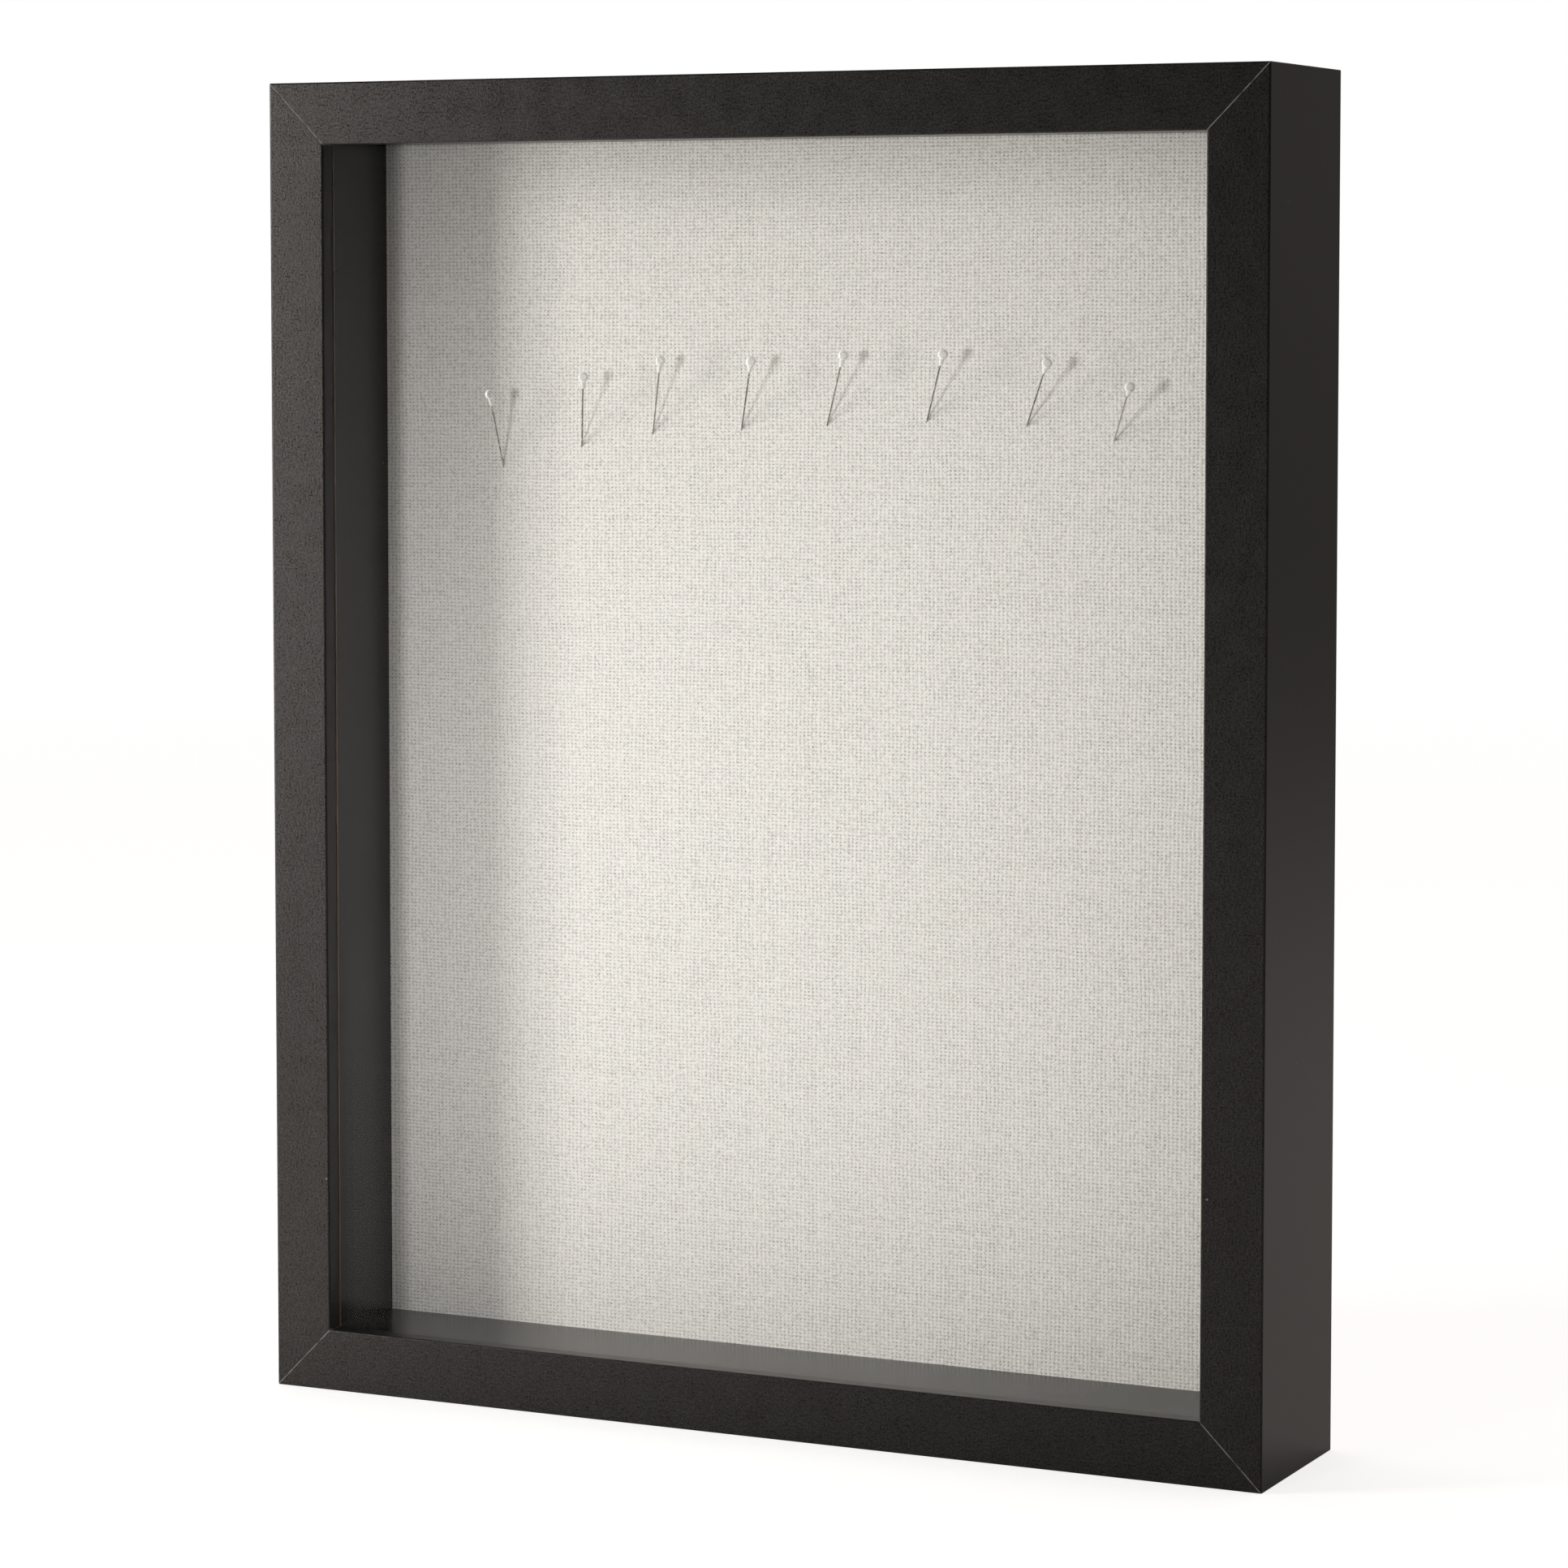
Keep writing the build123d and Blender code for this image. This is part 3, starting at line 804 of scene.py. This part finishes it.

# %% [markdown]
# ## Pins
#
# Each pin is a bright steel wire with a sharp point and a clear ball on a short moulded collar.
# Both are turned shapes: a profile of radius against distance, spun about the pin's own line. The
# line is known from the way that the pin pulls out, and from the middle of its shaft. A clear ball
# shows what is behind it through its middle, and its rim is painted paler, as a highlight.

# %% Spin a profile
def lathe(profile, start, way, steps):
    """Points start + distance way + radius (cos a, sin a) across it, closed by two pole points."""
    way = way / np.linalg.norm(way)
    side = np.cross(way, [0.0, 1.0, 0.0])
    side /= np.linalg.norm(side)
    other = np.cross(way, side)
    angle = np.linspace(0, 2 * np.pi, steps, endpoint=False)
    radius, distance = profile[1:-1, 0], profile[1:-1, 1]
    ring = np.cos(angle)[:, None] * side + np.sin(angle)[:, None] * other
    rings = start + distance[:, None, None] * way + radius[:, None, None] * ring[None]
    poles = start + profile[[0, -1], 1][:, None] * way
    rows = len(radius)
    points = np.concatenate([rings.reshape(-1, 3), poles])
    around = np.arange(steps)
    after = (around + 1) % steps
    first = np.stack([np.full(steps, rows * steps), after, around], axis=-1)
    last_row = (rows - 1) * steps
    last = np.full(steps, rows * steps + 1)
    last = np.stack([last, last_row + around, last_row + after], axis=-1)
    return points, [*grid_faces(rows, steps, loop=True).tolist(), *first.tolist(), *last.tolist()]


# %% Pin finishes
def wire_finish():
    """Drawn steel wire: bright, with soft patches of wear."""
    finish = Finish("pin_wire", Metallic=1.0, Roughness=0.24)
    where = finish.place()
    wear = finish.noise(where, 420.0, detail=2.0)
    finish.drive("Base Color", finish.blend(wear, (0.50, 0.48, 0.44), (0.70, 0.68, 0.64)))
    finish.drive("Roughness", finish.between(wear, 0.18, 0.32))
    finish.relief(finish.noise(where, 2400.0, detail=2.0), distance=0.005 * mm, strength=0.2)
    return finish.material


def bead_finish():
    """Clear moulded plastic, a touch milky: see-through in its middle, with a painted pale
    highlight round its rim.
    """
    finish = Finish("pin_bead", Roughness=0.03, IOR=1.49, Transmission_Weight=1.0)
    milk = finish.noise(finish.place(), 700.0, detail=2.0)
    facing = finish.nodes.new("ShaderNodeLayerWeight").outputs["Facing"]
    # Painted highlight: towards the rim the bead turns pale and less see-through.
    painted_rim_highlight = finish.spread(facing, 0.10, 0.40)
    clear = finish.blend(milk, (0.84, 0.84, 0.82), (0.90, 0.90, 0.88))
    finish.drive("Base Color", finish.blend(painted_rim_highlight, clear, (0.97, 0.97, 0.96)))
    through = finish.math("SUBTRACT", 1.0, finish.math("MULTIPLY", painted_rim_highlight, 0.85))
    finish.drive("Transmission Weight", through)
    finish.drive("Roughness", finish.between(milk, 0.02, 0.06))
    finish.relief(milk, distance=0.01 * mm, strength=0.2)
    return finish.material


pin_wire = wire_finish()
pin_bead = bead_finish()

# %% Make the pins
ball_radius = 1.5 * mm
collar_length = 2.4 * mm
wire_radius = 0.26 * mm
shaft_radius = 0.3 * mm
tip_radius = 0.05 * mm
point_length = 2.5 * mm


def head_profile(reach):
    """Radius against distance: a tapered collar that runs into a ball centred at reach."""
    neck = reach - ball_radius
    foot = -collar_length / mm
    collar = np.array([[0.0, foot], [0.42, foot], [0.50, foot + 0.12], [0.62, -1.4], [0.78, -0.5]])
    collar = collar * mm + np.array([0.0, neck])
    angle = np.radians(np.linspace(-58, 90, 16))
    ball = np.stack([ball_radius * np.cos(angle), reach + ball_radius * np.sin(angle)], axis=-1)
    ball[-1, 0] = 0.0
    return np.concatenate([collar, ball])


pulls = [joint for joint in frame["joints"] if joint["name"].endswith("_pull")]
for pull in pulls:
    pin = pull["child"]
    way = np.array(pull["axis"])
    low, high = (np.array(corner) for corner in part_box(f"{pin}_shaft"))
    length = (high[2] - low[2] - shaft_radius * np.sqrt(1 - way[2] ** 2)) / way[2]
    tip = (low + high) / 2 - way * length / 2
    wire_end = length - ball_radius - 0.6 * collar_length
    wire_profile = np.array([
        [0.0, 0.0], [tip_radius, tip_radius], [wire_radius, point_length],
        [wire_radius, wire_end], [0.0, wire_end],
    ])
    wire_shape = lathe(wire_profile, tip, way, 20)
    wire = piece_from(f"{pin}_wire", *wire_shape, [pin_wire], pin, "pin_steel")
    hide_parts(f"{pin}_shaft")
    bead_shape = lathe(head_profile(length), tip, way, 36)
    bead = piece_from(f"{pin}_bead", *bead_shape, [pin_bead], pin, "pin_ball")
    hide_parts(f"{pin}_head")
print("pins:", len(pulls))

# %% [markdown]
# ## The rear: steel, paint and rubber
#
# What holds the box together is plain hardware. Zinc-plated screws, nails and hangers are a
# slightly mottled bright metal. The turn buttons are pressed steel with black paint, worn to a
# paler tone in places. The dots are matte rubber. Their shapes are right as they come, so they
# only need their finishes.

# %% Hardware finishes
def zinc_finish(name, tone):
    """Zinc-plated steel: soft crystals in tone and gloss."""
    finish = Finish(name, Metallic=1.0, Roughness=0.35)
    where = finish.place()
    crystals = finish.cells(where, 900.0)
    drift = finish.noise(where, 120.0, detail=3.0)
    dark = tuple(part * 0.72 for part in tone)
    finish.drive("Base Color", finish.blend(finish.between(drift, 0.0, 1.0), dark, tone))
    finish.drive("Roughness", finish.spread(crystals, 0.0, 0.8, 0.26, 0.46))
    finish.relief(drift, distance=0.03 * mm, strength=0.3)
    return finish.material


def painted_finish():
    """Black paint on pressed steel, worn to grey where hands turn it."""
    finish = Finish("painted_steel", Roughness=0.42)
    where = finish.place()
    wear = finish.noise(where, 300.0, detail=5.0, roughness=0.7)
    worn = finish.spread(wear, 0.63, 0.74, 0.0, 0.55)
    finish.drive("Base Color", finish.blend(worn, (0.020, 0.020, 0.020), (0.19, 0.18, 0.17)))
    finish.drive("Roughness", finish.between(wear, 0.34, 0.52))
    finish.relief(wear, distance=0.04 * mm, strength=0.4)
    return finish.material


def rubber_finish():
    """Matte black rubber with a dusty bloom."""
    finish = Finish("dot_rubber", Roughness=0.8)
    bloom = finish.noise(finish.place(), 500.0, detail=4.0)
    finish.drive("Base Color", finish.blend(bloom, (0.016, 0.016, 0.016), (0.045, 0.044, 0.042)))
    finish.drive("Roughness", finish.between(bloom, 0.7, 0.9))
    finish.relief(bloom, distance=0.05 * mm, strength=0.4)
    return finish.material


def softboard_finish():
    """Soft grey-brown fibreboard that takes the pins."""
    finish = Finish("softboard", Roughness=0.95)
    fibres = finish.noise(finish.place(), 800.0, detail=5.0, roughness=0.7)
    finish.drive("Base Color", finish.blend(fibres, (0.30, 0.24, 0.17), (0.60, 0.52, 0.42)))
    finish.relief(fibres, distance=0.3 * mm, strength=0.6)
    return finish.material


# %% Dress the rear and the hidden pieces
zinc = zinc_finish("zinc_fasteners", (0.66, 0.66, 0.64))
hanger_zinc = zinc_finish("zinc_hangers", (0.62, 0.60, 0.56))
painted_steel = painted_finish()
hardware = {
    "corner_v_nails": zinc, "hanger_nails": zinc, "turn_button_screws": zinc,
    "sawtooth_hanger_top": hanger_zinc, "sawtooth_hanger_left": hanger_zinc,
    "wall_bumpers": rubber_finish(), "pin_board": softboard_finish(), "back_panel": hardboard_brown,
}
hardware.update({f"turn_button_{number}": painted_steel for number in range(1, 9)})
for node, material in hardware.items():
    dress(node, material)
print("dressed as they are:", len(hardware))

# %% [markdown]
# ## Floor and light
#
# The box stands on a plain pale floor in a white studio. A tall soft light at its left is close
# to the wall's own line, so the left wall shades the linen beside it, and the left rail has a
# sheen while the right one stays dark. Two narrow soft beams come from the front. The key, a
# little to the left, lights the linen's middle more than its corners and throws the heads' soft
# shadows to the right. The weaker fill, from the right, only reaches the linen's lower left. Both
# are kept out of mirrors, as a studio's flags would do. Behind the box is a white backdrop, and in
# front of it a dim room whose little light is warm.

# %% Floor
warm_white = (1.0, 0.93, 0.88)


def floor_finish():
    """Pale floor: most of its light is its own to the eye, so that it ends up white; mirrors see a
    painted glowing pool on it in front of the box to its left.
    """
    finish = Finish("pale_floor", Roughness=0.9, Specular_IOR_Level=0.0)
    where = finish.place()
    patches = finish.noise(where, 3.0, detail=2.0)
    near = finish.blend(patches, (0.49, 0.49, 0.49), (0.51, 0.51, 0.505))
    distance = finish.nodes.new("ShaderNodeVectorMath")
    distance.operation = "LENGTH"
    finish.join(where, distance.inputs[0])
    far = finish.spread(distance.outputs["Value"], 0.9, 2.6)
    finish.drive("Base Color", finish.blend(far, near, (0.0, 0.0, 0.0)))
    path = finish.nodes.new("ShaderNodeLightPath").outputs
    seen = finish.math("MAXIMUM", path["Is Camera Ray"], path["Is Transmission Ray"])
    in_mirrors = path["Is Glossy Ray"]
    finish.drive("Emission Color", finish.blend(in_mirrors, (1.0, 1.0, 1.0), warm_white))
    own = finish.spread(far, 0.0, 1.0, 0.74, 1.0)
    # Painted reflection: in mirrors the floor glows in a pool in front of the box to its left, and
    # faintly and evenly behind it.
    to_the_left = finish.spread(finish.axis(where, "X"), -0.28, 0.12, 1.0, 0.0)
    nearby = finish.spread(distance.outputs["Value"], 0.25, 0.85, 1.2, 0.0)
    painted_reflection_pool = finish.math("MULTIPLY", finish.math("MULTIPLY", to_the_left, to_the_left), nearby)
    mirrored = finish.spread(finish.axis(where, "Y"), -0.04, 0.04, painted_reflection_pool, 0.125)
    own = finish.math("MULTIPLY", seen, own)
    mirrored = finish.math("MULTIPLY", in_mirrors, mirrored)
    finish.drive("Emission Strength", finish.math("MAXIMUM", own, mirrored))
    return finish.material


def floor_piece():
    """A wide square at the level that the box stands on, reaching far past the view."""
    reach = 14.0
    corners = np.array([[-1, -1, 0], [1, -1, 0], [1, 1, 0], [-1, 1, 0]]) * reach
    mesh = bpy.data.meshes.new("floor")
    mesh.from_pydata(corners.tolist(), [], [[0, 1, 2, 3]])
    mesh.materials.append(floor_finish())
    piece = bpy.data.objects.new("floor", mesh)
    bpy.context.scene.collection.objects.link(piece)
    return piece


floor_piece()

# %% World
def make_world():
    """White to the eye and through glass. Mirrors see a pale backdrop behind the box and a dark
    room in front. Diffuse light is faint from the front and strong from behind. Both are warm."""
    world = bpy.data.worlds.new("studio")
    bpy.context.scene.world = world
    world.use_nodes = True
    studio = Steps(world.node_tree)
    path = studio.nodes.new("ShaderNodeLightPath").outputs
    way = studio.nodes.new("ShaderNodeTexCoord").outputs["Generated"]
    behind = studio.math("GREATER_THAN", studio.axis(way, "Y"), 0.0)
    mirrored = studio.math("ADD", 0.01, studio.math("MULTIPLY", behind, 0.18))
    cast = studio.math("ADD", 0.13, studio.math("MULTIPLY", behind, 0.75))
    strength = studio.math("MULTIPLY", path["Is Diffuse Ray"], cast)
    glint = studio.math("MULTIPLY", path["Is Glossy Ray"], mirrored)
    strength = studio.math("MAXIMUM", strength, glint)
    seen = studio.math("MAXIMUM", path["Is Camera Ray"], path["Is Transmission Ray"])
    casting = studio.math("MAXIMUM", path["Is Glossy Ray"], path["Is Diffuse Ray"])
    background = studio.nodes["Background"].inputs
    studio.join(studio.blend(casting, (1.0, 1.0, 1.0), warm_white), background["Color"])
    studio.join(studio.math("MAXIMUM", strength, seen), background["Strength"])


make_world()

# %% Lamps
middle = np.array([0.0, 0.0, 0.45 * height])


def from_middle(azimuth, elevation, distance):
    """A place round the lamps' middle. Azimuth 0 is in front, and it grows to the right."""
    turn, lift = np.radians([azimuth, elevation])
    way = np.array([np.sin(turn) * np.cos(lift), -np.cos(turn) * np.cos(lift), np.sin(lift)])
    return middle + distance * way


def hang_lamp(name, data, place, power, towards=middle):
    """Puts a light at a place, turned to face the box's middle or another point."""
    data.energy = power
    lamp = bpy.data.objects.new(name, data)
    bpy.context.scene.collection.objects.link(lamp)
    way = towards - place
    lamp.location = place
    tip, turn = np.arctan2(np.hypot(way[0], way[1]), -way[2]), np.arctan2(-way[0], way[1])
    lamp.rotation_euler = (tip, 0.0, turn)
    return lamp


def soft_box(name, place, size, power):
    """A rectangular cloth-covered light."""
    data = bpy.data.lights.new(name, "AREA")
    data.shape = "RECTANGLE"
    data.size, data.size_y = size
    return hang_lamp(name, data, place, power)


def soft_beam(name, place, spread, power, towards, radius):
    """A narrow beam that fades from its middle out and doesn't show in mirrors."""
    data = bpy.data.lights.new(name, "SPOT")
    data.spot_size = np.radians(spread)
    data.spot_blend = 1.0
    data.shadow_soft_size = radius
    lamp = hang_lamp(name, data, place, power, towards)
    lamp.visible_glossy = False


window = soft_box("left_window", from_middle(-54, 9, 1.2), size=(0.32, 0.85), power=12.6)
window.data.color = (1.0, 0.97, 0.93)
key_aim = middle + np.array([0.045, 0.0, 0.015])
fill_aim = middle + np.array([-0.15, 0.0, -0.045])
soft_beam("front_key", from_middle(-10, 3, 1.5), 26, power=44.8, towards=key_aim, radius=0.14)
soft_beam("left_fill", from_middle(10, 4, 1.5), 14, power=27.0, towards=fill_aim, radius=0.16)

# %% [markdown]
# ## Camera
#
# The box is looked at from its right, about level with the pins. A long lens keeps its edges
# nearly parallel. Looking a little down and sliding the picture down by the lens shift shows the
# lower ledge and keeps the uprights upright.

# %% Camera
lens_length = 111.8
lens_shift = -0.10
tipped_down, turned_left = 3.828, 25.625


def make_camera():
    """A long lens to the right of the box, turned towards it and tipped slightly down."""
    data = bpy.data.cameras.new("view")
    data.lens = lens_length
    data.shift_y = lens_shift
    data.clip_end = 50.0
    camera = bpy.data.objects.new("view", data)
    bpy.context.scene.collection.objects.link(camera)
    camera.location = (0.615, front - 1.2565, 0.3298)
    camera.rotation_euler = np.radians([90.0 - tipped_down, 0.0, turned_left])
    bpy.context.scene.camera = camera


make_camera()
bpy.context.scene.view_settings.view_transform = "Standard"
